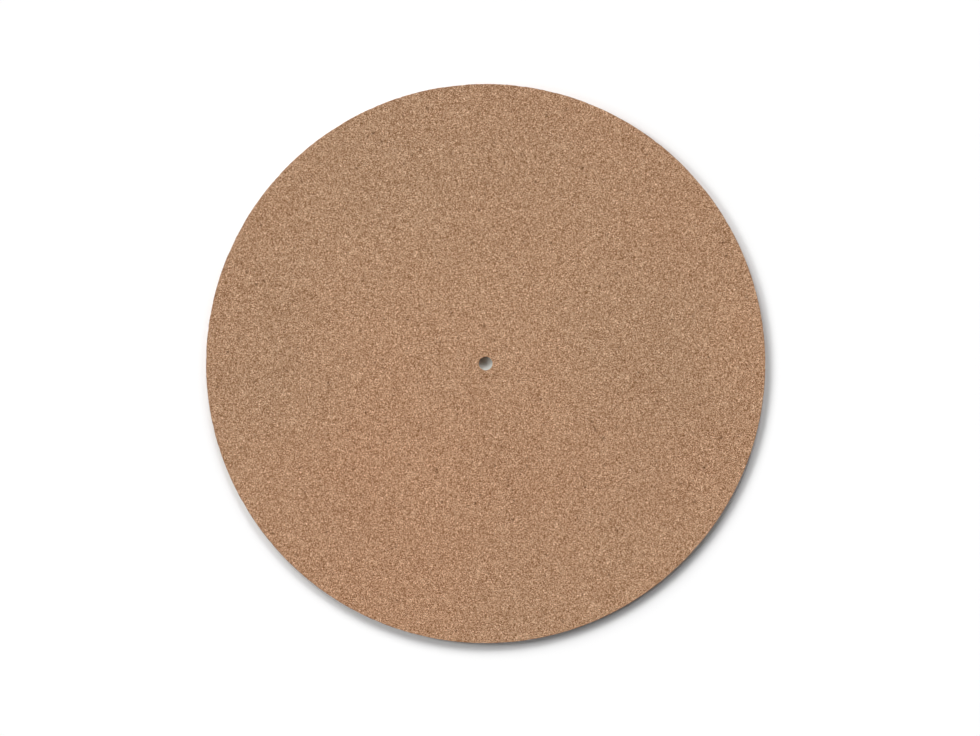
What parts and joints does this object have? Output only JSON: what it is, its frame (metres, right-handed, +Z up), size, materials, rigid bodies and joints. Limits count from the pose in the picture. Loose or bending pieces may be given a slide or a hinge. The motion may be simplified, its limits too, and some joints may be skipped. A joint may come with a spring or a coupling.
{
  "type": "turntable platter mat",
  "caption": "Flat round cork sheet with a punched centre hole; lies on a record player's platter over the spindle and carries the record.",
  "frame": {"origin": "on the spindle axis, at the underside of the mat where it lies on the platter", "axes": "+Z up along the spindle axis, out of the face that carries the record; the mat is round, so +X and +Y are free"},
  "size_m": [0.3, 0.3, 0.003],
  "materials": {
    "cork": "matte"
  },
  "bodies": {
    "root": {"cork_mat": "cork"}
  },
  "joints": []
}
